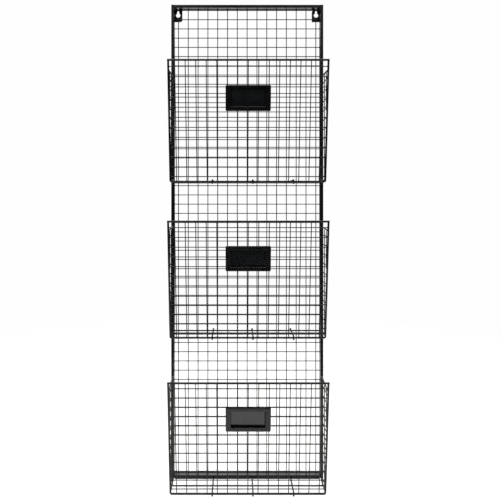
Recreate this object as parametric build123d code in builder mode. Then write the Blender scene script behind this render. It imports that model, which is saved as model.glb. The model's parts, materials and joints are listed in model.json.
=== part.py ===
"""Hanging file rack: a wire-grid back in a flat-bar frame, with three tapered wire-grid pockets.

Frame of the model, in millimetres: X to the right as the user faces the rack, -Y towards the user,
+Z up. Y = 0 is the wall, which the backs of the frame and of the two hangers lie on. The origin is
on the wall, midway between the centres of the two keyholes that the rack hangs by.
"""

from build123d import *
from math import atan2, cos, hypot, sin, tan
import os

# Bar frame
frame_width = 320.0
frame_height = 996.0
frame_above_keyholes = 17.0
bar_face = 6.0
bar_depth = 16.0
bar_edge = 0.8

# Hangers, one in each top corner
hanger_reach = 22.0
hanger_drop = 31.0
hanger_sheet = 2.0
hanger_corner = 5.0
keyhole_inset = 13.0
keyhole_radius = 4.6
neck_top_width = 4.0
neck_bottom_width = 5.0
neck_cover = 1.8

# Wire mesh: thin wires in two layers, welded where they cross
mesh_wire = 1.8
layer_gap = 0.02
back_upright_count = 15
back_upright_margin = 8.0
back_cross_count = 51

# Pockets: the first rim is set below the keyholes, the last floor below the frame, the rest between
pocket_names = ["upper", "middle", "lower"]
first_rim_drop = 123.3
last_floor_drop = 5.5
pocket_height = 234.3
pocket_inset = 2.5
rim_reach = 96.0
floor_reach = 62.0

# Pocket front
rim_wire = 4.0
front_corner = 3.0
front_upright_count = 15
front_upright_margin = 12.7
front_cross_count = 12
front_cross_top = 12.0
front_cross_bottom = 10.0

# Pocket sides
side_wire = 3.0
side_corner = 6.0
side_drop_front = 18.0
side_drop_back = 12.0
side_upright_count = 3
side_upright_pitch = 20.0
side_cross_count = 11
side_cross_bottom = 9.0
side_cross_top = 12.0

# Pocket floor
floor_wire = 3.0
floor_cross_gaps = [3, 7, 11]
curl_turn = 200.0

# Label holders
label_width = 88.5
label_height = 50.0
label_drop = 47.8
label_sheet = 1.0
card_gap = 3.4
label_corner = 2.5
label_edge = 1.8
window_left = 10.0
window_right = 10.5
window_top = 7.0
window_bottom = 9.0
window_corner = 1.5

# Worked out from the sizes above
half_width = frame_width / 2
inner_half = half_width - bar_face
frame_top = frame_above_keyholes
frame_bottom = frame_top - frame_height
inner_top = frame_top - bar_face
inner_bottom = frame_bottom + bar_face
mesh_radius = mesh_wire / 2
back_cross_y = -(hanger_sheet + layer_gap + mesh_radius)
back_upright_y = back_cross_y - mesh_wire - layer_gap
mesh_front_y = back_upright_y - mesh_radius
rim_radius = rim_wire / 2
side_radius = side_wire / 2
floor_radius = floor_wire / 2
panel_half = half_width - pocket_inset - rim_radius
front_reach = panel_half - front_upright_margin
first_floor = -first_rim_drop - pocket_height
last_floor = frame_bottom - last_floor_drop
lean_out = rim_reach - floor_reach
panel_length = hypot(lean_out, pocket_height)
lean = atan2(lean_out, pocket_height)
mesh_layer = mesh_radius + layer_gap / 2


def spaced(first, last, count):
    """Count numbers from first to last, evenly apart."""
    step = (last - first) / (count - 1)
    return [first + step * k for k in range(count)]


front_upright_places = spaced(-front_reach, front_reach, front_upright_count)
floors = spaced(first_floor, last_floor, len(pocket_names))


def keep(part, name):
    """Label a finished piece and write it to its own file."""
    part.label = name
    export_step(part, f"parts/{name}.step")


def bar(length, along, place):
    """A flat bar with eased edges, length long, along "X" or "Z", its middle at place."""
    size = (length, bar_depth, bar_face) if along == "X" else (bar_face, bar_depth, length)
    axis = Axis.X if along == "X" else Axis.Z
    with BuildPart() as flat_bar:
        with Locations(place):
            Box(*size)
        fillet(flat_bar.edges().filter_by(axis), bar_edge)
    return flat_bar.part


def hanger(side):
    """A plate in a top corner of the frame, with a keyhole. Side is -1 for left and 1 for right."""
    keyhole_x = side * (half_width - keyhole_inset)
    inner_edge = side * (half_width - hanger_reach)
    plate_bottom = frame_top - hanger_drop
    neck_top = inner_top - neck_cover
    with BuildPart() as plate:
        with BuildSketch(Plane.XZ):
            with BuildLine():
                Polyline(
                    (side * inner_half, inner_top),
                    (side * inner_half, plate_bottom),
                    (inner_edge, plate_bottom),
                    (inner_edge, inner_top),
                    close=True,
                )
            make_face()
            corner = vertices().sort_by(Axis.Z)[:2].sort_by(Axis.X)[0 if side > 0 else -1]
            fillet(corner, hanger_corner)
            with Locations((keyhole_x, 0)):
                Circle(keyhole_radius, mode=Mode.SUBTRACT)
            with BuildLine():
                Polyline(
                    (keyhole_x - neck_bottom_width / 2, 0),
                    (keyhole_x - neck_top_width / 2, neck_top),
                    (keyhole_x + neck_top_width / 2, neck_top),
                    (keyhole_x + neck_bottom_width / 2, 0),
                    close=True,
                )
            make_face(mode=Mode.SUBTRACT)
        extrude(amount=hanger_sheet)
    return plate.part


def back_cross_wires():
    """Thin wires across the back, the first and last along the rails."""
    levels = spaced(inner_top - mesh_radius, inner_bottom + mesh_radius, back_cross_count)
    with BuildPart() as wires:
        with Locations(*[(0, back_cross_y, z) for z in levels]):
            Cylinder(mesh_radius, 2 * inner_half, rotation=(0, 90, 0))
    return wires.part, levels


def back_upright_wires(levels):
    """Thin wires up the back. One that would pass in front of a keyhole starts below it instead."""
    reach = inner_half - back_upright_margin
    clear_of_keyhole = half_width - keyhole_inset - keyhole_radius - mesh_radius
    under_keyhole = next(z for z in levels if z + mesh_wire < -keyhole_radius)
    with BuildPart() as wires:
        for x in spaced(-reach, reach, back_upright_count):
            top = inner_top if abs(x) < clear_of_keyhole else under_keyhole + mesh_radius
            with Locations((x, back_upright_y, (top + inner_bottom) / 2)):
                Cylinder(mesh_radius, top - inner_bottom)
    return wires.part


def front_plane(floor_z, proud=0.0):
    """The leaning plane of a pocket's front, with Y up the front and Z out of it."""
    outwards = (0, -cos(lean), -sin(lean))
    return Plane(origin=(0, -floor_reach, floor_z), x_dir=(1, 0, 0), z_dir=outwards).offset(proud)


def front_y(floor_z, z):
    """Where the middle of the front's rim wire is at height z."""
    return -floor_reach - (z - floor_z) * tan(lean)


def front_frame(floor_z):
    """A pocket's front: a thick wire bent to a U, and the straight rim wire across its two ends."""
    plane = front_plane(floor_z)
    leg_top = panel_length - rim_radius - layer_gap
    with BuildPart(plane) as frame:
        with Locations((0, panel_length)):
            Cylinder(rim_radius, 2 * (panel_half + rim_radius), rotation=(0, 90, 0))
        with BuildLine(plane) as run:
            FilletPolyline(
                (-panel_half, leg_top),
                (-panel_half, 0),
                (panel_half, 0),
                (panel_half, leg_top),
                radius=front_corner,
            )
        with BuildSketch(Plane(origin=run.wire() @ 0, z_dir=run.wire() % 0)):
            Circle(rim_radius)
        sweep()
    return frame.part


def front_uprights(floor_z):
    """Thin wires up a pocket's front, on its outer side, between the rim and the bottom wire."""
    with BuildPart(front_plane(floor_z, mesh_layer)) as wires:
        with Locations(*[(x, panel_length / 2) for x in front_upright_places]):
            Cylinder(mesh_radius, panel_length - rim_wire, rotation=(90, 0, 0))
    return wires.part


def front_cross_wires(floor_z):
    """Thin wires across a pocket's front, behind its uprights."""
    levels = spaced(panel_length - front_cross_top, front_cross_bottom, front_cross_count)
    with BuildPart(front_plane(floor_z, -mesh_layer)) as wires:
        with Locations(*[(0, v) for v in levels]):
            Cylinder(mesh_radius, 2 * (panel_half - rim_radius), rotation=(0, 90, 0))
    return wires.part


def side_outline(floor_z):
    """Heights and depths of a pocket's side: its top edge, its back leg and its bottom leg."""
    rim_z = floor_z + pocket_height
    back_leg_y = -bar_depth - layer_gap - side_radius
    bottom_z = floor_z + rim_radius + side_radius
    top_front_z = rim_z - side_drop_front
    top_back_z = rim_z - side_drop_back
    return back_leg_y, bottom_z, top_front_z, top_back_z


def side_meets_front(floor_z, z, radius):
    """The depth at which a level wire of this radius, at height z, ends against the front."""
    return front_y(floor_z, z) + (rim_radius + layer_gap) / cos(lean) + radius * tan(lean)


def side_frame(floor_z, side):
    """One bent wire round a pocket's side: forward along the top and bottom, down the stile."""
    back_leg_y, bottom_z, top_front_z, top_back_z = side_outline(floor_z)
    with BuildPart() as bent:
        with BuildLine(Plane.YZ.offset(side * panel_half)) as run:
            FilletPolyline(
                (side_meets_front(floor_z, top_front_z, side_radius), top_front_z),
                (back_leg_y, top_back_z),
                (back_leg_y, bottom_z),
                (side_meets_front(floor_z, bottom_z, side_radius), bottom_z),
                radius=side_corner,
            )
        with BuildSketch(Plane(origin=run.wire() @ 0, z_dir=run.wire() % 0)):
            Circle(side_radius)
        sweep()
    return bent.part


def side_uprights(floor_z, side):
    """Thin wires up a pocket's side. The foremost ones start where the front leans past them."""
    back_leg_y, bottom_z, top_front_z, top_back_z = side_outline(floor_z)
    top_slope = (top_back_z - top_front_z) / (back_leg_y - front_y(floor_z, top_front_z))
    with BuildPart() as wires:
        for k in range(side_upright_count):
            y = back_leg_y - side_upright_pitch * (k + 1)
            top = top_back_z + top_slope * (y - back_leg_y) - side_radius - mesh_radius
            lean_z = floor_z + (-floor_reach + rim_wire + mesh_radius - y) / tan(lean)
            foot = max(bottom_z + side_radius, lean_z)
            with Locations((side * (panel_half - mesh_layer), y, (top + foot) / 2)):
                Cylinder(mesh_radius, top - foot)
    return wires.part


def side_cross_wires(floor_z, side):
    """Thin level wires from the back leg of a pocket's side to its front."""
    back_leg_y, bottom_z, top_front_z, top_back_z = side_outline(floor_z)
    back_end = back_leg_y - side_radius
    levels = spaced(bottom_z + side_cross_bottom, top_front_z - side_cross_top, side_cross_count)
    with BuildPart() as wires:
        for z in levels:
            front_end = side_meets_front(floor_z, z, mesh_radius)
            with Locations((side * (panel_half + mesh_layer), (front_end + back_end) / 2, z)):
                Cylinder(mesh_radius, back_end - front_end, rotation=(90, 0, 0))
    return wires.part


def floor_long_wires(floor_z):
    """The two long wires under a pocket's floor: one against the back, one halfway forward."""
    back_y = mesh_front_y - layer_gap - floor_radius
    halfway_y = (back_y - floor_reach) / 2
    level = floor_z + rim_radius - floor_radius - layer_gap
    with BuildPart() as wires:
        with Locations((0, back_y, level)):
            Cylinder(floor_radius, 2 * inner_half, rotation=(0, 90, 0))
        with Locations((0, halfway_y, level)):
            Cylinder(floor_radius, 2 * panel_half + side_wire, rotation=(0, 90, 0))
    return wires.part


def floor_cross_wires(floor_z):
    """Wires from the back to the front over the long ones, each curled round the bottom wire.

    Each stands in the middle of a gap between two of the front's uprights.
    """
    curl_radius = rim_radius + layer_gap + floor_radius
    with BuildPart() as wires:
        for gap in floor_cross_gaps:
            x = (front_upright_places[gap] + front_upright_places[gap + 1]) / 2
            with BuildLine(Plane.YZ.offset(x)) as run:
                Line((mesh_front_y, floor_z + curl_radius), (-floor_reach, floor_z + curl_radius))
                CenterArc((-floor_reach, floor_z), curl_radius, 90, curl_turn)
            with BuildSketch(Plane(origin=run.wire() @ 0, z_dir=run.wire() % 0)):
                Circle(floor_radius)
            sweep()
    return wires.part


def label_plate(floor_z):
    """The flat back of a label holder, on the front's uprights."""
    plane = front_plane(floor_z, mesh_layer + mesh_radius + layer_gap)
    middle = panel_length - label_drop - label_height / 2
    with BuildPart() as plate:
        with BuildSketch(plane):
            with Locations((0, middle)):
                RectangleRounded(label_width, label_height, label_corner)
        extrude(amount=label_sheet)
    return plate.part


def label_bezel(floor_z):
    """The front of a label holder: a shallow tray, open at the top for the card, with a window."""
    plane = front_plane(floor_z, mesh_layer + mesh_radius + layer_gap + label_sheet)
    middle = panel_length - label_drop - label_height / 2
    window_width = label_width - window_left - window_right
    window_height = label_height - window_top - window_bottom
    window_x = (window_left - window_right) / 2
    window_middle = middle + (window_bottom - window_top) / 2
    with BuildPart() as bezel:
        with BuildSketch(plane):
            with Locations((0, middle)):
                RectangleRounded(label_width, label_height, label_corner)
        extrude(amount=card_gap + label_sheet)
        fillet(bezel.faces().sort_by(Axis(plane.origin, plane.z_dir))[-1].edges(), label_edge)
        with BuildSketch(plane):
            with Locations((0, middle + label_sheet)):
                Rectangle(label_width - 2 * label_sheet, label_height)
        extrude(amount=card_gap, mode=Mode.SUBTRACT)
        with BuildSketch(plane):
            with Locations((window_x, window_middle)):
                RectangleRounded(window_width, window_height, window_corner)
        extrude(amount=card_gap + label_sheet, mode=Mode.SUBTRACT)
    return bezel.part


os.makedirs("parts", exist_ok=True)

rail_x = 2 * inner_half
keep(bar(rail_x, "X", (0, -bar_depth / 2, frame_top - bar_face / 2)), "top_rail")
keep(bar(rail_x, "X", (0, -bar_depth / 2, frame_bottom + bar_face / 2)), "bottom_rail")

cross_wires, cross_levels = back_cross_wires()
keep(cross_wires, "back_cross_wires")
keep(back_upright_wires(cross_levels), "back_upright_wires")

sides = {"left": -1, "right": 1}
for side_name, side in sides.items():
    stile_x = side * (half_width - bar_face / 2)
    stile_middle = (frame_top + frame_bottom) / 2
    keep(bar(frame_height, "Z", (stile_x, -bar_depth / 2, stile_middle)), f"{side_name}_stile")
    keep(hanger(side), f"{side_name}_hanger")

for pocket, floor_z in zip(pocket_names, floors):
    keep(front_frame(floor_z), f"{pocket}_front_frame")
    keep(front_uprights(floor_z), f"{pocket}_front_uprights")
    keep(front_cross_wires(floor_z), f"{pocket}_front_cross_wires")
    for side_name, side in sides.items():
        keep(side_frame(floor_z, side), f"{pocket}_{side_name}_side_frame")
        keep(side_uprights(floor_z, side), f"{pocket}_{side_name}_side_uprights")
        keep(side_cross_wires(floor_z, side), f"{pocket}_{side_name}_side_cross_wires")
    keep(floor_long_wires(floor_z), f"{pocket}_floor_long_wires")
    keep(floor_cross_wires(floor_z), f"{pocket}_floor_cross_wires")
    keep(label_plate(floor_z), f"{pocket}_label_plate")
    keep(label_bezel(floor_z), f"{pocket}_label_bezel")
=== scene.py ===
"""Wall file rack: the finish, the welds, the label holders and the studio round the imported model.

Everything is in metres in the model's own frame: X to the right, -Y towards the user, +Z up, with
the wall at Y = 0 and the origin midway between the two keyholes.
"""

import json
import math

import bmesh
import bpy
from bpy.props import (
    FloatProperty,
    FloatVectorProperty,
    IntProperty,
    PointerProperty,
)
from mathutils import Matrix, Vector
from mathutils.geometry import intersect_line_line


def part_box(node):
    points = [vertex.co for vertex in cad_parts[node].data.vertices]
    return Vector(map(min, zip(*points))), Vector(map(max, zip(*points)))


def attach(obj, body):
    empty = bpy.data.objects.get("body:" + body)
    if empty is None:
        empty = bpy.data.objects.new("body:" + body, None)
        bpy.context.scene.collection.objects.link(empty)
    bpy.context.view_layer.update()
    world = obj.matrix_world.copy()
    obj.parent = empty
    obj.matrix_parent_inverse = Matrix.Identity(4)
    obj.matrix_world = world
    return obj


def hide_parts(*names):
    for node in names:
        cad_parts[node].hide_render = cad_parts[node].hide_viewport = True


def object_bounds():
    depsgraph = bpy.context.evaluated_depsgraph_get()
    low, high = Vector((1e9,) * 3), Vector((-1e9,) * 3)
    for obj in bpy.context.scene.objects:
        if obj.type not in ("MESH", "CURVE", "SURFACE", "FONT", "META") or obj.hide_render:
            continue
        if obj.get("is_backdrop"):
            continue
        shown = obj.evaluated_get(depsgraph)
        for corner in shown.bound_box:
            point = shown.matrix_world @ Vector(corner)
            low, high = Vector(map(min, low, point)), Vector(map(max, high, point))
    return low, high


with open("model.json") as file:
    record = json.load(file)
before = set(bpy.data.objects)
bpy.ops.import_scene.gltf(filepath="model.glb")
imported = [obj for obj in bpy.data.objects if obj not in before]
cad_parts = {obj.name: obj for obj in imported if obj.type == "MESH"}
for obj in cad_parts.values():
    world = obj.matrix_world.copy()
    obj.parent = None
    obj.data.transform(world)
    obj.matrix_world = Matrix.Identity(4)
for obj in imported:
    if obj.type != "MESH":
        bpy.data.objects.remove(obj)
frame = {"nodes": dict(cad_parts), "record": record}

bl_info = {
    "name": "Wall File Rack",
    "version": (1, 0, 0),
    "blender": (4, 5, 0),
    "location": "3D View > Sidebar > File Rack",
    "description": "Powder coat, welds, label holders and a studio for a wire wall file rack",
    "category": "Object",
}

MM = 0.001
BODY = "root"
POCKETS = ("upper", "middle", "lower")
SIDES = ("left", "right")
JOIN = 0.001 * MM
TOUCH = 0.25 * MM
LEVEL = 0.02 * MM
RIGHT = Vector((1, 0, 0))
UP = Vector((0, 0, 1))
WHITE = (1.0, 1.0, 1.0, 1.0)

# The coat of each material slot: its name, the roughness of its sheen, the height of its dimples.
COATS = {
    "bar_frame": ("powder_coat_on_bar", 0.28, 0.05 * MM),
    "thick_wire": ("powder_coat_on_thick_wire", 0.34, 0.04 * MM),
    "mesh_wire": ("powder_coat_on_mesh_wire", 0.38, 0.03 * MM),
}

# Moulded plastic. The tool's spark grain is about 0.05 mm wide, drawn wider so that it shows.
SPARK_GRAIN = 0.4 * MM
FLOW_MARKS = 18 * MM

# How far each kind of weld strays from a true shape, and the size of its lumps.
NUGGET_STRAY = 0.25 * MM
COLLAR_STRAY = 0.15 * MM
BEAD_STRAY = 0.2 * MM
LUMPS = 2.2 * MM

# The collars on the rim are slimmer than a wire's other collars, to stay behind the rim.
RIM_COLLAR = 0.62

# Where a side frame's leg is tacked to its stile, as shares of the leg's height from its foot.
STILE_TACKS = (0.06, 0.5, 0.9)
STILE_TACK_HALF = 4.5 * MM
STILE_BEAD = 0.7 * MM

# Where a hanger plate is tacked to its stile, as shares of the plate's height from its top.
HANGER_TACKS = (0.42, 0.8)
HANGER_TACK_HALF = 3 * MM
HANGER_BEAD = 0.8 * MM

# A corner bead stops this far behind the frame's front and in front of its back.
CORNER_BEAD_FRONT = 1.6 * MM
CORNER_BEAD_BACK = 5.6 * MM

# Sheet edges, and the roll round a label holder's window.
SHEET_EDGE = 0.3 * MM
WINDOW_CORNER = 1.5 * MM
WINDOW_MARGIN = 4 * MM
CORNER_STEPS = 5
ROLL_OUTWARD = 0.7
ROLL_SUNK = 0.35


def linear(hex_colour):
    """An sRGB hex colour as the linear red, green and blue that a shader takes."""
    channels = [int(hex_colour[i : i + 2], 16) / 255 for i in (1, 3, 5)]
    return tuple(c / 12.92 if c <= 0.04045 else ((c + 0.055) / 1.055) ** 2.4 for c in channels)


def colour(name, description, hex_colour):
    """A colour setting, its default given in hex."""
    return FloatVectorProperty(
        name=name,
        description=description,
        subtype="COLOR",
        min=0.0,
        max=1.0,
        default=linear(hex_colour),
    )


def length(name, description, millimetres):
    """A length setting, its default given in millimetres."""
    return FloatProperty(
        name=name,
        description=description,
        subtype="DISTANCE",
        unit="LENGTH",
        precision=5,
        default=millimetres * MM,
    )


def add(tree, kind, inputs=None, **settings):
    """Add a node, give it its settings, and fill its inputs with values or with links."""
    node = tree.nodes.new(kind)
    for name, value in settings.items():
        setattr(node, name, value)
    for key, value in (inputs or {}).items():
        if isinstance(value, bpy.types.NodeSocket):
            tree.links.new(value, node.inputs[key])
        else:
            node.inputs[key].default_value = value
    return node


# ---------------------------------------------------------------------------------------------
# Settings


class CoatSettings(bpy.types.PropertyGroup):
    """The powder coat on the steel."""

    deep: colour("Coat", "Black of the powder coat", "#0A0A0B")
    thin: colour("Thin coat", "Where the coat lies thinner over an edge", "#1B1B1D")
    # This colour is partly real dust and partly painted top light: it lightens the faces that look
    # up, as light from above would.
    dust_and_top_light: colour("Dust and top light", "Fine dust that settles on faces that look up", "#3A3A3B")
    peel: length("Orange peel", "Width of one dimple of the coat's texture", 0.9)
    cloud: length("Gloss patches", "Width of the soft patches where the gloss varies", 35.0)
    edge: length("Edge", "How far in from an edge the coat is thin", 0.35)


class WeldSettings(bpy.types.PropertyGroup):
    """The resistance welds of the mesh and the weld beads of the bar frame."""

    spread: FloatProperty(
        name="Nugget spread",
        description="Reach of a weld nugget, in radii of the thinner wire",
        default=1.45,
    )
    swell: FloatProperty(
        name="Nugget thickness",
        description="Half thickness of a weld nugget, in radii of the thinner wire",
        default=0.95,
    )
    collar: FloatProperty(
        name="Collar flare",
        description="Radius of the weld round a wire's end, in radii of the wire",
        default=1.42,
    )
    bead: length("Bead", "Radius of a weld bead", 1.3)
    ripple: length("Bead ripple", "Distance from one ripple of a bead to the next", 1.6)
    seed: IntProperty(name="Seed", description="Which set of uneven welds", default=7)


class LabelSettings(bpy.types.PropertyGroup):
    """The label holders."""

    front: colour("Bezel", "Black of the moulded bezel", "#050506")
    back: colour("Back plate", "Slate black of the plate behind the card", "#060C0E")
    lip: length("Lip", "Roundness of the window's edge", 0.6)
    roll: length("Roll", "Radius of the raised roll round the window", 1.0)


class StageSettings(bpy.types.PropertyGroup):
    """Floor, light and camera."""

    paper: colour("Floor", "Pale paper under the rack", "#F2F2F0")
    floor_drop: length("Floor drop", "Gap between the rack and the floor", 45.0)
    floor_front: length("Floor in front", "How far the paper comes forward", 750.0)
    floor_back: length("Floor behind", "How far the paper goes back", 2300.0)
    floor_half: length("Floor half width", "Half the paper's width", 2400.0)
    fade_from: length("Fade from", "Where the paper starts to thin out", 700.0)
    fade_to: length("Fade to", "Where the paper is gone", 1900.0)
    backdrop: FloatProperty(name="Backdrop", description="How bright it looks", default=0.99)
    glow_above: FloatProperty(
        name="Upper glow", description="Light from behind, above", default=2.4
    )
    glow_below: FloatProperty(
        name="Lower glow", description="Light from behind, below", default=3.0
    )
    room: FloatProperty(name="Room", description="Light from the dim front", default=0.05)


class RackSettings(bpy.types.PropertyGroup):
    """All settings of the rack."""

    coat: PointerProperty(type=CoatSettings)
    weld: PointerProperty(type=WeldSettings)
    label: PointerProperty(type=LabelSettings)
    stage: PointerProperty(type=StageSettings)


def settings():
    """The settings of the current scene."""
    return bpy.context.scene.file_rack


# ---------------------------------------------------------------------------------------------
# Materials


def powder_coat(name, gloss, peel_height):
    """Black polyester powder coat on mild steel, sprayed dry and melted in an oven.

    It gives the eye a near black with a broad, dull sheen, a skin of tiny dimples, soft patches
    where the gloss wanders, and edges that look a shade greyer where the melt drew back.
    """
    coat = settings().coat
    material = bpy.data.materials.new(name)
    material.use_nodes = True
    tree = material.node_tree
    tree.nodes.clear()
    place = add(tree, "ShaderNodeTexCoord").outputs["Object"]
    patches = add(
        tree,
        "ShaderNodeTexNoise",
        {"Vector": place, "Scale": 1 / coat.cloud, "Detail": 3.0, "Roughness": 0.6},
    )
    peel = add(
        tree,
        "ShaderNodeTexVoronoi",
        {"Vector": place, "Scale": 1 / coat.peel, "Smoothness": 1.0},
        feature="SMOOTH_F1",
    )
    rounded = add(tree, "ShaderNodeBevel", {"Radius": coat.edge}, samples=4)
    surface = add(tree, "ShaderNodeNewGeometry")
    facing = add(
        tree,
        "ShaderNodeVectorMath",
        {0: rounded.outputs["Normal"], 1: surface.outputs["Normal"]},
        operation="DOT_PRODUCT",
    )
    on_edge = add(
        tree,
        "ShaderNodeMapRange",
        {
            "Value": facing.outputs["Value"],
            "From Min": 0.995,
            "From Max": 0.85,
            "To Min": 0.0,
            "To Max": 0.75,
        },
    )
    # Painted top light mixed with real dust: faces that look up are pulled towards the dust colour
    # in soft patches. This stands partly for dust that settles there and partly for the light that
    # falls on them from above.
    upward = add(tree, "ShaderNodeSeparateXYZ", {"Vector": surface.outputs["Normal"]})
    facing_up_dust_and_light = add(
        tree,
        "ShaderNodeMapRange",
        {"Value": upward.outputs["Z"], "From Min": 0.5, "From Max": 1.0, "To Max": 0.22},
    )
    dust_and_top_light = add(
        tree,
        "ShaderNodeMath",
        {0: facing_up_dust_and_light.outputs["Result"], 1: patches.outputs["Fac"]},
        operation="MULTIPLY",
    )
    edged = add(
        tree,
        "ShaderNodeMix",
        {
            "Factor": on_edge.outputs["Result"],
            "A": (*coat.deep, 1.0),
            "B": (*coat.thin, 1.0),
        },
        data_type="RGBA",
    )
    with_dust_and_top_light = add(
        tree,
        "ShaderNodeMix",
        {
            "Factor": dust_and_top_light.outputs["Value"],
            "A": edged.outputs["Result"],
            "B": (*coat.dust_and_top_light, 1.0),
        },
        data_type="RGBA",
    )
    rough = add(
        tree,
        "ShaderNodeMapRange",
        {
            "Value": patches.outputs["Fac"],
            "From Min": 0.3,
            "From Max": 0.7,
            "To Min": gloss - 0.05,
            "To Max": gloss + 0.07,
        },
    )
    dimples = add(
        tree,
        "ShaderNodeBump",
        {
            "Height": peel.outputs["Distance"],
            "Strength": 0.35,
            "Distance": peel_height,
        },
    )
    shader = add(
        tree,
        "ShaderNodeBsdfPrincipled",
        {
            "Base Color": with_dust_and_top_light.outputs["Result"],
            "Roughness": rough.outputs["Result"],
            "Normal": dimples.outputs["Normal"],
            "IOR": 1.5,
            "Specular IOR Level": 0.36,
        },
    )
    add(tree, "ShaderNodeOutputMaterial", {"Surface": shader.outputs["BSDF"]})
    return material


def moulded_plastic(name, shade, gloss, shine):
    """Black ABS, injection moulded in a lightly sparked tool.

    It gives the eye an even black with a fine matt grain and a soft sheen along rounded edges.
    """
    material = bpy.data.materials.new(name)
    material.use_nodes = True
    tree = material.node_tree
    tree.nodes.clear()
    place = add(tree, "ShaderNodeTexCoord").outputs["Object"]
    grain, flow = (
        add(tree, "ShaderNodeTexNoise", {"Vector": place, "Scale": 1 / width, "Detail": 2.0})
        for width in (SPARK_GRAIN, FLOW_MARKS)
    )
    lighter = tuple(min(1.0, c * 1.5) for c in shade)
    tint = add(
        tree,
        "ShaderNodeMix",
        {"Factor": flow.outputs["Fac"], "A": (*shade, 1.0), "B": (*lighter, 1.0)},
        data_type="RGBA",
    )
    rough = add(
        tree,
        "ShaderNodeMapRange",
        {
            "Value": flow.outputs["Fac"],
            "From Min": 0.3,
            "From Max": 0.7,
            "To Min": gloss - 0.04,
            "To Max": gloss + 0.06,
        },
    )
    relief = add(
        tree,
        "ShaderNodeBump",
        {"Height": grain.outputs["Fac"], "Strength": 0.25, "Distance": 0.05 * MM},
    )
    shader = add(
        tree,
        "ShaderNodeBsdfPrincipled",
        {
            "Base Color": tint.outputs["Result"],
            "Roughness": rough.outputs["Result"],
            "Normal": relief.outputs["Normal"],
            "IOR": 1.53,
            "Specular IOR Level": shine,
        },
    )
    add(tree, "ShaderNodeOutputMaterial", {"Surface": shader.outputs["BSDF"]})
    return material


def matt_paper(name, shade, fade_from, fade_to):
    """Uncoated studio paper off a roll, which the eye takes as an even, shadow-catching white.

    It thins out to nothing between two distances from the rack, so it has no edge to see.
    """
    material = bpy.data.materials.new(name)
    material.use_nodes = True
    tree = material.node_tree
    tree.nodes.clear()
    place = add(tree, "ShaderNodeTexCoord").outputs["Object"]
    flat = add(
        tree,
        "ShaderNodeVectorMath",
        {0: place, 1: (1.0, 1.0, 0.0)},
        operation="MULTIPLY",
    )
    away = add(tree, "ShaderNodeVectorMath", {0: flat.outputs["Vector"]}, operation="LENGTH")
    left = add(
        tree,
        "ShaderNodeMapRange",
        {
            "Value": away.outputs["Value"],
            "From Min": fade_from,
            "From Max": fade_to,
            "To Min": 1.0,
            "To Max": 0.0,
        },
        interpolation_type="SMOOTHSTEP",
    )
    shader = add(
        tree,
        "ShaderNodeBsdfPrincipled",
        {
            "Base Color": (*shade, 1.0),
            "Roughness": 0.9,
            "Specular IOR Level": 0.1,
            "Alpha": left.outputs["Result"],
        },
    )
    add(tree, "ShaderNodeOutputMaterial", {"Surface": shader.outputs["BSDF"]})
    return material


def finish_named(name):
    """A finish that an earlier step has made."""
    material = bpy.data.materials.get(name)
    if material is None:
        raise RuntimeError(f"the finish {name} isn't made yet: coat the steel first")
    return material


# ---------------------------------------------------------------------------------------------
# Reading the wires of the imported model


def merged(node):
    """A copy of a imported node's mesh, its loose triangles joined at their corners."""
    mesh = bmesh.new()
    mesh.from_mesh(frame["nodes"][node].data)
    bmesh.ops.remove_doubles(mesh, verts=mesh.verts, dist=JOIN)
    return mesh


def separate_solids(node):
    """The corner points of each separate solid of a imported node."""
    mesh = merged(node)
    seen, solids = set(), []
    for first in mesh.verts:
        if first in seen:
            continue
        seen.add(first)
        waiting, points = [first], []
        while waiting:
            corner = waiting.pop()
            points.append(corner.co.copy())
            for edge in corner.link_edges:
                other = edge.other_vert(corner)
                if other not in seen:
                    seen.add(other)
                    waiting.append(other)
        solids.append(points)
    mesh.free()
    return solids


def mean(points):
    """The middle of some points."""
    return sum(points, Vector()) / len(points)


def straight_wires(*nodes):
    """The start, end and radius of every straight wire in these nodes."""
    wires = []
    for node in nodes:
        for points in separate_solids(node):
            middle = mean(points)
            far = max(points, key=lambda p: (p - middle).length)
            along = (far - middle).normalized()
            front = [p for p in points if (p - middle).dot(along) > 0]
            back = [p for p in points if (p - middle).dot(along) <= 0]
            start, end = mean(back), mean(front)
            wires.append((start, end, (far - end).length))
    return wires


def crossings(first_wires, second_wires):
    """Where a wire of one group lies against a wire of the other: place, along, out, radius."""
    found = []
    for start, end, radius in first_wires:
        along = (end - start).normalized()
        for other_start, other_end, other_radius in second_wires:
            near = intersect_line_line(start, end, other_start, other_end)
            if near is None:
                continue
            here, there = near
            gap = (there - here).length
            if gap > radius + other_radius + TOUCH or gap < JOIN:
                continue
            slack = max(radius, other_radius)
            span, other_span = (end - start).length, (other_end - other_start).length
            run = (here - start).dot(along)
            other_run = (there - other_start).dot((other_end - other_start) / other_span)
            if not -slack < run < span + slack or not -slack < other_run < other_span + slack:
                continue
            out = (there - here) / gap
            found.append((here + out * radius, along, out, min(radius, other_radius)))
    return found


def wire_ends(wires):
    """Both ends of each wire, with the direction from the end back along the wire."""
    ends = []
    for start, end, radius in wires:
        along = (end - start).normalized()
        side = along.orthogonal().normalized()
        ends.append((start, side, along, radius))
        ends.append((end, side, -along, radius))
    return ends


# ---------------------------------------------------------------------------------------------
# Node trees that grow the welds


def new_tree(name, inputs):
    """An empty geometry tree with named inputs, its group input node and its output node."""
    tree = bpy.data.node_groups.new(name, "GeometryNodeTree")
    tree.interface.new_socket("Geometry", in_out="INPUT", socket_type="NodeSocketGeometry")
    for label, kind in inputs:
        tree.interface.new_socket(label, in_out="INPUT", socket_type=f"NodeSocket{kind}")
    tree.interface.new_socket("Geometry", in_out="OUTPUT", socket_type="NodeSocketGeometry")
    return tree, add(tree, "NodeGroupInput").outputs


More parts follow.
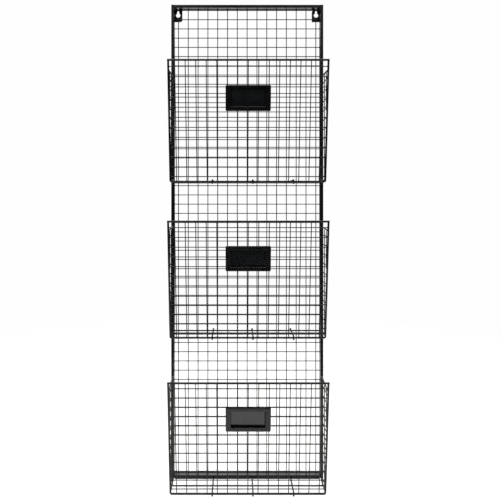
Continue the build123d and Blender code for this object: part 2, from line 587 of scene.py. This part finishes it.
def close_tree(tree, shape, given):
    """Make a tree's result real, uneven, smooth and coated."""
    real = add(tree, "GeometryNodeRealizeInstances", {"Geometry": shape})
    noise = add(
        tree,
        "ShaderNodeTexNoise",
        {"Scale": 1 / LUMPS, "Detail": 1.0, "W": given["Seed"]},
        noise_dimensions="4D",
    )
    centred = add(
        tree,
        "ShaderNodeVectorMath",
        {0: noise.outputs["Color"], 1: (0.5, 0.5, 0.5)},
        operation="SUBTRACT",
    )
    push = add(
        tree,
        "ShaderNodeVectorMath",
        {0: centred.outputs["Vector"], "Scale": given["Unevenness"]},
        operation="SCALE",
    )
    uneven = add(
        tree,
        "GeometryNodeSetPosition",
        {"Geometry": real.outputs["Geometry"], "Offset": push.outputs["Vector"]},
    )
    smooth = add(tree, "GeometryNodeSetShadeSmooth", {"Geometry": uneven.outputs["Geometry"]})
    coated = add(
        tree,
        "GeometryNodeSetMaterial",
        {"Geometry": smooth.outputs["Geometry"], "Material": given["Finish"]},
    )
    add(tree, "NodeGroupOutput", {"Geometry": coated.outputs["Geometry"]})
    return tree


def placed_copies(tree, given, shape):
    """Put a shape on every point, turned and sized by the point's own attributes."""
    along, out, size = (
        add(
            tree,
            "GeometryNodeInputNamedAttribute",
            {"Name": name},
            data_type="FLOAT_VECTOR",
        ).outputs["Attribute"]
        for name in ("along", "out", "size")
    )
    turn = add(
        tree,
        "FunctionNodeAxesToRotation",
        {"Primary Axis": out, "Secondary Axis": along},
        primary_axis="Z",
        secondary_axis="X",
    )
    vary = add(
        tree,
        "FunctionNodeRandomValue",
        {
            "Min": (0.86, 0.86, 0.9),
            "Max": (1.14, 1.14, 1.1),
            "Seed": given["Seed"],
        },
        data_type="FLOAT_VECTOR",
    )
    scale = add(
        tree,
        "ShaderNodeVectorMath",
        {0: size, 1: vary.outputs[0]},
        operation="MULTIPLY",
    )
    return add(
        tree,
        "GeometryNodeInstanceOnPoints",
        {
            "Points": given["Geometry"],
            "Instance": shape,
            "Rotation": turn.outputs["Rotation"],
            "Scale": scale.outputs["Vector"],
        },
    ).outputs["Instances"]


WELD_INPUTS = (("Finish", "Material"), ("Seed", "Int"), ("Unevenness", "Float"))


def nugget_tree():
    """Squashed nuggets of melted wire where two wires cross."""
    tree, given = new_tree("weld_nuggets", WELD_INPUTS)
    ball = add(tree, "GeometryNodeMeshUVSphere", {"Segments": 10, "Rings": 5, "Radius": 1.0})
    return close_tree(tree, placed_copies(tree, given, ball.outputs["Mesh"]), given)


def collar_tree():
    """Flared collars of weld where a wire butts against steel."""
    tree, given = new_tree("weld_collars", (*WELD_INPUTS, ("Flare", "Float")))
    stem = add(tree, "GeometryNodeCurvePrimitiveLine", {"Start": (0, 0, 0), "End": (0, 0, 1)})
    steps = add(tree, "GeometryNodeResampleCurve", {"Curve": stem.outputs["Curve"], "Count": 4})
    run = add(tree, "GeometryNodeSplineParameter")
    left = add(
        tree,
        "ShaderNodeMath",
        {0: 1.0, 1: run.outputs["Factor"]},
        operation="SUBTRACT",
    )
    bend = add(tree, "ShaderNodeMath", {0: left.outputs["Value"], 1: 2.0}, operation="POWER")
    extra = add(tree, "ShaderNodeMath", {0: given["Flare"], 1: 1.0}, operation="SUBTRACT")
    girth = add(
        tree,
        "ShaderNodeMath",
        {0: bend.outputs["Value"], 1: extra.outputs["Value"], 2: 0.98},
        operation="MULTIPLY_ADD",
    )
    ring = add(tree, "GeometryNodeCurvePrimitiveCircle", {"Resolution": 10, "Radius": 1.0})
    collar = add(
        tree,
        "GeometryNodeCurveToMesh",
        {
            "Curve": steps.outputs["Curve"],
            "Profile Curve": ring.outputs["Curve"],
            "Scale": girth.outputs["Value"],
            "Fill Caps": True,
        },
    )
    return close_tree(tree, placed_copies(tree, given, collar.outputs["Mesh"]), given)


def bead_tree():
    """Rippled weld beads along lines."""
    tree, given = new_tree(
        "weld_beads", (*WELD_INPUTS, ("Bead Radius", "Float"), ("Ripple", "Float"))
    )
    lines = add(tree, "GeometryNodeMeshToCurve", {"Mesh": given["Geometry"]})
    step = add(tree, "ShaderNodeMath", {0: given["Ripple"], 1: 0.25}, operation="MULTIPLY")
    fine = add(
        tree,
        "GeometryNodeResampleCurve",
        {"Curve": lines.outputs["Curve"], "Length": step.outputs["Value"]},
        mode="LENGTH",
    )
    run = add(tree, "GeometryNodeSplineParameter")
    turns = add(
        tree,
        "ShaderNodeMath",
        {0: run.outputs["Length"], 1: given["Ripple"]},
        operation="DIVIDE",
    )
    phase = add(
        tree,
        "ShaderNodeMath",
        {0: turns.outputs["Value"], 1: math.tau},
        operation="MULTIPLY",
    )
    wave = add(tree, "ShaderNodeMath", {0: phase.outputs["Value"]}, operation="SINE")
    rippled = add(
        tree,
        "ShaderNodeMath",
        {0: wave.outputs["Value"], 1: 0.09, 2: 0.95},
        operation="MULTIPLY_ADD",
    )
    # The bead swells in fast from each end: (1 - (2t - 1) ^ 6).
    centre = add(
        tree,
        "ShaderNodeMath",
        {0: run.outputs["Factor"], 1: 2.0, 2: -1.0},
        operation="MULTIPLY_ADD",
    )
    ends = add(tree, "ShaderNodeMath", {0: centre.outputs["Value"], 1: 6.0}, operation="POWER")
    inner = add(
        tree,
        "ShaderNodeMath",
        {0: ends.outputs["Value"], 1: -0.7, 2: 1.0},
        operation="MULTIPLY_ADD",
    )
    girth = add(
        tree,
        "ShaderNodeMath",
        {0: rippled.outputs["Value"], 1: inner.outputs["Value"]},
        operation="MULTIPLY",
    )
    radius = add(
        tree,
        "ShaderNodeMath",
        {0: girth.outputs["Value"], 1: given["Bead Radius"]},
        operation="MULTIPLY",
    )
    ring = add(tree, "GeometryNodeCurvePrimitiveCircle", {"Resolution": 10, "Radius": 1.0})
    bead = add(
        tree,
        "GeometryNodeCurveToMesh",
        {
            "Curve": fine.outputs["Curve"],
            "Profile Curve": ring.outputs["Curve"],
            "Scale": radius.outputs["Value"],
            "Fill Caps": True,
        },
    )
    return close_tree(tree, bead.outputs["Mesh"], given)


def roll_tree():
    """A raised roll of plastic along a line, closed off at its ends."""
    tree, given = new_tree("window_rolls", (("Finish", "Material"), ("Roll Radius", "Float")))
    line = add(tree, "GeometryNodeMeshToCurve", {"Mesh": given["Geometry"]})
    ring = add(
        tree,
        "GeometryNodeCurvePrimitiveCircle",
        {"Resolution": 16, "Radius": given["Roll Radius"]},
    )
    roll = add(
        tree,
        "GeometryNodeCurveToMesh",
        {
            "Curve": line.outputs["Curve"],
            "Profile Curve": ring.outputs["Curve"],
            "Fill Caps": True,
        },
    )
    real = add(tree, "GeometryNodeRealizeInstances", {"Geometry": roll.outputs["Mesh"]})
    smooth = add(tree, "GeometryNodeSetShadeSmooth", {"Geometry": real.outputs["Geometry"]})
    made = add(
        tree,
        "GeometryNodeSetMaterial",
        {"Geometry": smooth.outputs["Geometry"], "Material": given["Finish"]},
    )
    add(tree, "NodeGroupOutput", {"Geometry": made.outputs["Geometry"]})
    return tree


def point_mesh(name, places):
    """A mesh of loose points that carry the direction and size of what will stand on them."""
    mesh = bpy.data.meshes.new(name)
    mesh.from_pydata([p[0] for p in places], [], [])
    for column, label in enumerate(("along", "out", "size"), start=1):
        layer = mesh.attributes.new(label, "FLOAT_VECTOR", "POINT")
        for value, place in zip(layer.data, places):
            value.vector = place[column]
    return mesh


def line_mesh(name, lines):
    """A mesh of loose edges, one for each pair of ends."""
    mesh = bpy.data.meshes.new(name)
    corners = [end for line in lines for end in line]
    mesh.from_pydata(corners, [(i, i + 1) for i in range(0, len(corners), 2)], [])
    return mesh


def grow(name, source, tree, values):
    """Run a tree on a mesh and keep the result as a plain mesh object."""
    holder = bpy.data.objects.new(name, source)
    bpy.context.scene.collection.objects.link(holder)
    modifier = holder.modifiers.new("grow", "NODES")
    modifier.node_group = tree
    for item in tree.interface.items_tree:
        if item.in_out == "INPUT" and item.name in values:
            modifier[item.identifier] = values[item.name]
    graph = bpy.context.evaluated_depsgraph_get()
    made = bpy.data.meshes.new_from_object(holder.evaluated_get(graph))
    holder.modifiers.remove(modifier)
    holder.data = made
    for label in ("along", "out", "size"):
        if label in made.attributes:
            made.attributes.remove(made.attributes[label])
    if not made.polygons:
        raise RuntimeError(f"{name} came out empty")
    made.name = name
    return holder


def keep_piece(piece):
    """Fasten a finished piece to the rack."""
    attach(piece, BODY)
    return piece


def weld_piece(name, source, tree, slot, stray, step, **more):
    """Grow welds on a mesh, in the coat of their slot."""
    values = {
        "Finish": finish_named(COATS[slot][0]),
        "Seed": settings().weld.seed + step,
        "Unevenness": stray,
        **more,
    }
    return keep_piece(grow(name, source, bpy.data.node_groups[tree], values))


def add_nuggets(name, found, slot, step=0):
    """Weld nuggets at these crossings."""
    weld = settings().weld
    size = Vector((weld.spread, weld.spread, weld.swell))
    places = [(place, along, out, size * radius) for place, along, out, radius in found]
    weld_piece(name, point_mesh(name, places), "weld_nuggets", slot, NUGGET_STRAY, step)


def add_collars(name, ends, slot, step=0):
    """Weld collars round these wire ends, half as long again as the wire's radius."""
    size = Vector((1.0, 1.0, 1.5))
    places = [(place, along, out, size * radius) for place, along, out, radius in ends]
    flare = {"Flare": settings().weld.collar}
    weld_piece(name, point_mesh(name, places), "weld_collars", slot, COLLAR_STRAY, step, **flare)


def add_beads(name, lines, slot, radius, step=0):
    """Weld beads along these lines."""
    run = {"Bead Radius": radius, "Ripple": settings().weld.ripple}
    weld_piece(name, line_mesh(name, lines), "weld_beads", slot, BEAD_STRAY, step, **run)


# ---------------------------------------------------------------------------------------------
# Pieces


def flat_faces(node):
    """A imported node's mesh again, each flat face in one piece."""
    mesh = merged(node)
    bmesh.ops.dissolve_limit(
        mesh, angle_limit=math.radians(0.5), verts=mesh.verts, edges=mesh.edges
    )
    return mesh


def window_outline(node, radius, outward):
    """The line down one side of a bezel's window, under it and up the other, on its front face.

    The face gives the bezel's own plane. The window's corners are the ones on that face that are
    well inside its outer edge.
    """
    mesh = flat_faces(node)
    face = max((f for f in mesh.faces if f.normal.y < -0.9), key=lambda f: f.calc_area())
    out = face.normal.copy()
    up = out.cross(RIGHT).normalized()
    level = face.verts[0].co.dot(out)
    low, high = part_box(node)
    inner = [
        v.co
        for v in mesh.verts
        if low.x + WINDOW_MARGIN < v.co.x < high.x - WINDOW_MARGIN
        and abs(v.co.dot(out) - level) < LEVEL
    ]
    left_edge, right_edge = min(v.x for v in inner), max(v.x for v in inner)
    foot, top = min(v.dot(up) for v in inner), max(v.dot(up) for v in inner)
    mesh.free()
    reach = radius + outward
    flat = [(left_edge - outward, top - 2 * radius)]
    for turn, centre_x in ((2, left_edge + radius), (3, right_edge - radius)):
        for step in range(CORNER_STEPS):
            angle = math.radians(90) * (turn + step / (CORNER_STEPS - 1))
            flat.append(
                (
                    centre_x + reach * math.cos(angle),
                    foot + radius + reach * math.sin(angle),
                )
            )
    flat.append((right_edge + outward, top - 2 * radius))
    return [RIGHT * x + up * z + out * level for x, z in flat], out


def rounded_copy(name, node, radius, finish):
    """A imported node's shape again, with its sharp sheet edges rounded over."""
    mesh = flat_faces(node)
    data = bpy.data.meshes.new(name)
    mesh.to_mesh(data)
    mesh.free()
    piece = bpy.data.objects.new(name, data)
    bpy.context.scene.collection.objects.link(piece)
    edge = piece.modifiers.new("edge", "BEVEL")
    edge.width = radius
    edge.segments = 3
    edge.limit_method = "ANGLE"
    edge.angle_limit = math.radians(40)
    edge.use_clamp_overlap = True
    graph = bpy.context.evaluated_depsgraph_get()
    made = bpy.data.meshes.new_from_object(piece.evaluated_get(graph))
    piece.modifiers.remove(edge)
    piece.data = made
    made.name = name
    made.materials.clear()
    made.materials.append(finish_named(finish))
    made.shade_smooth()
    made.set_sharp_from_angle(angle=math.radians(30))
    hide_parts(node)
    return keep_piece(piece)


class FILERACK_OT_coat(bpy.types.Operator):
    """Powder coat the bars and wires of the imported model"""

    bl_idname = "file_rack.coat"
    bl_label = "Coat the Steel"

    def execute(self, context):
        label = settings().label
        finishes = {slot: powder_coat(*coat) for slot, coat in COATS.items()}
        finishes["label_holder"] = moulded_plastic("moulded_bezel", label.front, 0.28, 0.42)
        moulded_plastic("moulded_back_plate", label.back, 0.24, 0.7)
        for subpart in frame["record"]["subparts"]:
            node = frame["nodes"][subpart["node"]]
            for place in node.material_slots:
                place.material = finishes[subpart["material_slot"]]
        return {"FINISHED"}


class FILERACK_OT_weld_mesh(bpy.types.Operator):
    """Weld the thin wires of the back and of each pocket where they cross and where they end"""

    bl_idname = "file_rack.weld_mesh"
    bl_label = "Weld the Mesh"

    def execute(self, context):
        nugget_tree()
        collar_tree()
        uprights = straight_wires("back_upright_wires")
        across = straight_wires("back_cross_wires")
        add_nuggets("back_mesh_welds", crossings(uprights, across), "mesh_wire")
        add_collars("back_mesh_ends", wire_ends(across + uprights), "mesh_wire", 1)
        for step, pocket in enumerate(POCKETS, start=2):
            uprights = straight_wires(f"{pocket}_front_uprights")
            across = straight_wires(f"{pocket}_front_cross_wires")
            add_nuggets(f"{pocket}_front_welds", crossings(uprights, across), "mesh_wire", step)
            ends = wire_ends(uprights + across)
            found = []
            for side in SIDES:
                side_uprights = straight_wires(f"{pocket}_{side}_side_uprights")
                side_across = straight_wires(f"{pocket}_{side}_side_cross_wires")
                found += crossings(side_uprights, side_across)
                ends += wire_ends(side_uprights + side_across)
            add_nuggets(f"{pocket}_side_welds", found, "mesh_wire", step)
            add_collars(f"{pocket}_mesh_ends", ends, "mesh_wire", step)
        return {"FINISHED"}


class FILERACK_OT_weld_pockets(bpy.types.Operator):
    """Weld the thick wires of the pockets to each other, to the back and to the stiles"""

    bl_idname = "file_rack.weld_pockets"
    bl_label = "Weld the Pockets"

    def execute(self, context):
        bead_tree()
        for step, pocket in enumerate(POCKETS, start=10):
            # Each floor wire from back to front rests on the long wires under it.
            long_wires = straight_wires(f"{pocket}_floor_long_wires")
            nuggets, ends = [], []
            for points in separate_solids(f"{pocket}_floor_cross_wires"):
                middle = (min(p.x for p in points) + max(p.x for p in points)) / 2
                top = max(p.z for p in points)
                rear = max(p.y for p in points)
                for start, end, radius in long_wires:
                    place = Vector((middle, start.y, start.z + radius))
                    nuggets.append((place, RIGHT, UP, radius))
                radius = long_wires[0][2]
                place = Vector((middle, rear, top - radius))
                ends.append((place, RIGHT, Vector((0, -1, 0)), radius))
            # The side's bent wire: its ends meet the front, its leg lies on the stile.
            beads = []
            for side in SIDES:
                low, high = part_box(f"{pocket}_{side}_side_frame")
                radius = (high.x - low.x) / 2
                x = (low.x + high.x) / 2
                y = high.y - 0.35 * radius
                for share in STILE_TACKS:
                    z = low.z + (high.z - low.z) * share
                    for edge in (-1, 1):
                        line_x = x + edge * radius * 0.75
                        beads.append(
                            (
                                Vector((line_x, y, z - STILE_TACK_HALF)),
                                Vector((line_x, y, z + STILE_TACK_HALF)),
                            )
                        )
                for start, end, long_radius in long_wires:
                    if abs(start.x) > abs(x):
                        place = Vector((x, start.y, start.z + long_radius))
                        nuggets.append((place, RIGHT, UP, radius))
            # The front's bent wire: its two legs butt against the straight rim wire.
            rims = []
            rim, bent = sorted(
                separate_solids(f"{pocket}_front_frame"),
                key=lambda points: max(p.z for p in points) - min(p.z for p in points),
            )
            radius = (max(p.z for p in rim) - min(p.z for p in rim)) / 2
            foot, head = min(p.z for p in bent), max(p.z for p in bent)
            run = mean([p for p in bent if p.z < foot + radius])
            for sign in (-1, 1):
                end = mean([p for p in bent if p.z > head - radius and p.x * sign > 0])
                down = Vector((0, run.y - end.y, run.z - end.z)).normalized()
                rims.append((end, RIGHT, down, RIM_COLLAR * radius))
            add_collars(f"{pocket}_rim_welds", rims, "thick_wire", step)
            add_nuggets(f"{pocket}_floor_welds", nuggets, "thick_wire", step)
            add_collars(f"{pocket}_floor_ends", ends, "thick_wire", step)
            add_beads(f"{pocket}_stile_welds", beads, "thick_wire", STILE_BEAD, step)
        return {"FINISHED"}


class FILERACK_OT_weld_frame(bpy.types.Operator):
    """Run weld beads inside the corners of the bar frame and round the hanger plates"""

    bl_idname = "file_rack.weld_frame"
    bl_label = "Weld the Bar Frame"

    def execute(self, context):
        lines, plate_lines = [], []
        for rail, up in (("top_rail", -1), ("bottom_rail", 1)):
            low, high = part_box(rail)
            inner = low.z if up < 0 else high.z
            for x in (low.x, high.x):
                front, back = low.y + CORNER_BEAD_FRONT, high.y - CORNER_BEAD_BACK
                lines.append((Vector((x, front, inner)), Vector((x, back, inner))))
        for side, sign in zip(SIDES, (-1, 1)):
            low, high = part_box(f"{side}_hanger")
            outer = low.x if sign < 0 else high.x
            face = low.y
            for share in HANGER_TACKS:
                z = high.z + (low.z - high.z) * share
                plate_lines.append(
                    (
                        Vector((outer, face, z - HANGER_TACK_HALF)),
                        Vector((outer, face, z + HANGER_TACK_HALF)),
                    )
                )
        add_beads("frame_corner_welds", lines, "bar_frame", settings().weld.bead, 20)
        add_beads("hanger_welds", plate_lines, "bar_frame", HANGER_BEAD, 21)
        return {"FINISHED"}


class FILERACK_OT_form_hangers(bpy.types.Operator):
    """Round the punched edges of the two hanger plates"""

    bl_idname = "file_rack.form_hangers"
    bl_label = "Form the Hangers"

    def execute(self, context):
        for side in SIDES:
            rounded_copy(
                f"{side}_hanger_plate",
                f"{side}_hanger",
                SHEET_EDGE,
                "powder_coat_on_bar",
            )
        return {"FINISHED"}


class FILERACK_OT_form_label_holders(bpy.types.Operator):
    """Make each label holder's bezel and back plate with moulded edges"""

    bl_idname = "file_rack.form_label_holders"
    bl_label = "Form the Label Holders"

    def execute(self, context):
        lip, roll = settings().label.lip, settings().label.roll
        tree = roll_tree()
        for pocket in POCKETS:
            line, out = window_outline(
                f"{pocket}_label_bezel", WINDOW_CORNER, ROLL_OUTWARD * roll
            )
            data = bpy.data.meshes.new(f"{pocket}_window_roll")
            data.from_pydata(
                [point - out * ROLL_SUNK * roll for point in line],
                [(i, i + 1) for i in range(len(line) - 1)],
                [],
            )
            values = {"Finish": finish_named("moulded_bezel"), "Roll Radius": roll}
            keep_piece(grow(f"{pocket}_window_roll", data, tree, values))
            rounded_copy(
                f"{pocket}_holder_bezel",
                f"{pocket}_label_bezel",
                lip,
                "moulded_bezel",
            )
            rounded_copy(
                f"{pocket}_holder_plate",
                f"{pocket}_label_plate",
                SHEET_EDGE,
                "moulded_back_plate",
            )
        return {"FINISHED"}


class FILERACK_OT_set_stage(bpy.types.Operator):
    """Lay the floor, light it, and stand the camera in front of the rack"""

    bl_idname = "file_rack.set_stage"
    bl_label = "Set the Stage"

    def execute(self, context):
        stage = settings().stage
        scene = context.scene
        scene.view_settings.view_transform = "Standard"
        scene.view_settings.look = "None"
        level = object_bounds()[0].z - stage.floor_drop
        near, back, half = -stage.floor_front, stage.floor_back, stage.floor_half
        data = bpy.data.meshes.new("floor")
        data.from_pydata(
            [
                (-half, near, level),
                (half, near, level),
                (half, back, level),
                (-half, back, level),
            ],
            [],
            [(0, 1, 2, 3)],
        )
        data.materials.append(
            matt_paper("studio_paper", stage.paper, stage.fade_from, stage.fade_to)
        )
        floor = bpy.data.objects.new("floor", data)
        scene.collection.objects.link(floor)
        floor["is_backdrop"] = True

        world = bpy.data.worlds.new("studio")
        world.use_nodes = True
        tree = world.node_tree
        tree.nodes.clear()
        # Two broad lights behind the rack, one above its level and one below, in a dim room.
        way = add(tree, "ShaderNodeTexCoord")
        parts = add(tree, "ShaderNodeSeparateXYZ", {"Vector": way.outputs["Generated"]})
        steep = add(tree, "ShaderNodeMath", {0: parts.outputs["Z"]}, operation="ABSOLUTE")
        banded = add(
            tree,
            "ShaderNodeMapRange",
            {"Value": steep.outputs["Value"], "From Min": 0.3, "From Max": 0.42},
            interpolation_type="SMOOTHSTEP",
        )
        rear = add(
            tree,
            "ShaderNodeMapRange",
            {"Value": parts.outputs["Y"], "From Min": -0.1, "From Max": 0.3},
            interpolation_type="SMOOTHSTEP",
        )
        share = add(
            tree,
            "ShaderNodeMath",
            {0: banded.outputs["Result"], 1: rear.outputs["Result"]},
            operation="MULTIPLY",
        )
        glow = add(
            tree,
            "ShaderNodeMapRange",
            {
                "Value": parts.outputs["Z"],
                "From Min": -0.1,
                "From Max": 0.1,
                "To Min": stage.glow_below,
                "To Max": stage.glow_above,
            },
        )
        behind = add(
            tree,
            "ShaderNodeMath",
            {0: share.outputs["Value"], 1: glow.outputs["Result"], 2: stage.room},
            operation="MULTIPLY_ADD",
        )
        rays = add(tree, "ShaderNodeLightPath")
        strength = add(
            tree,
            "ShaderNodeMix",
            {
                "Factor": rays.outputs["Is Camera Ray"],
                "A": behind.outputs["Value"],
                "B": stage.backdrop,
            },
        )
        light = add(
            tree,
            "ShaderNodeBackground",
            {"Color": WHITE, "Strength": strength.outputs["Result"]},
        )
        add(tree, "ShaderNodeOutputWorld", {"Surface": light.outputs["Background"]})
        scene.world = world

        lamps = (
            # name, place, aimed at, width, height, watts
            ("left_softbox", (-1.35, -2.3, 1.3), (-0.1, 0.0, -0.1), 1.1, 1.1, 20.0),
            ("right_softbox", (1.35, -2.3, 1.3), (0.1, 0.0, -0.1), 1.1, 1.1, 10.0),
            ("top_strip", (-0.35, -1.15, 1.45), (0.0, 0.0, -0.4), 1.2, 0.3, 12.0),
            ("overhead_softbox", (0.0, 0.6, 2.4), (0.0, 0.55, -1.0), 4.0, 3.0, 38.0),
        )
        for name, place, aim, width, height, watts in lamps:
            lamp = bpy.data.lights.new(name, "AREA")
            lamp.shape = "RECTANGLE"
            lamp.size, lamp.size_y, lamp.energy = width, height, watts
            holder = bpy.data.objects.new(name, lamp)
            holder.location = place
            holder.rotation_euler = (
                (Vector(aim) - Vector(place)).to_track_quat("-Z", "Y").to_euler()
            )
            scene.collection.objects.link(holder)

        lens = bpy.data.cameras.new("camera")
        lens.sensor_width = 36.0
        lens.lens = 34.92
        lens.shift_x = 0.03
        lens.shift_y = -0.086
        lens.clip_end = 20.0
        camera = bpy.data.objects.new("camera", lens)
        camera.location = (-0.0258, -1.036, -0.4085)
        camera.rotation_euler = (math.radians(90), 0, 0)
        scene.collection.objects.link(camera)
        scene.camera = camera
        return {"FINISHED"}


STEPS = (
    FILERACK_OT_coat,
    FILERACK_OT_weld_mesh,
    FILERACK_OT_weld_pockets,
    FILERACK_OT_weld_frame,
    FILERACK_OT_form_hangers,
    FILERACK_OT_form_label_holders,
    FILERACK_OT_set_stage,
)


class FILERACK_PT_panel(bpy.types.Panel):
    """The rack's steps and settings"""

    bl_idname = "FILERACK_PT_panel"
    bl_label = "File Rack"
    bl_space_type = "VIEW_3D"
    bl_region_type = "UI"
    bl_category = "File Rack"

    def draw(self, context):
        column = self.layout.column()
        for step in STEPS:
            column.operator(step.bl_idname)
        for group in ("coat", "weld", "label", "stage"):
            box = self.layout.box()
            box.label(text=group.title())
            values = getattr(context.scene.file_rack, group)
            for name in values.__annotations__:
                box.prop(values, name)


CLASSES = (
    CoatSettings,
    WeldSettings,
    LabelSettings,
    StageSettings,
    RackSettings,
    *STEPS,
    FILERACK_PT_panel,
)


def register():
    """Add the classes and the scene's settings."""
    for kind in CLASSES:
        bpy.utils.register_class(kind)
    bpy.types.Scene.file_rack = PointerProperty(type=RackSettings)


def unregister():
    """Take the classes and the settings away again."""
    del bpy.types.Scene.file_rack
    for kind in reversed(CLASSES):
        bpy.utils.unregister_class(kind)


def main():
    """Build everything in order."""
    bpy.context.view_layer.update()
    register()
    for step in STEPS:
        group, name = step.bl_idname.split(".")
        getattr(getattr(bpy.ops, group), name)()


if __name__ == "__main__":
    main()
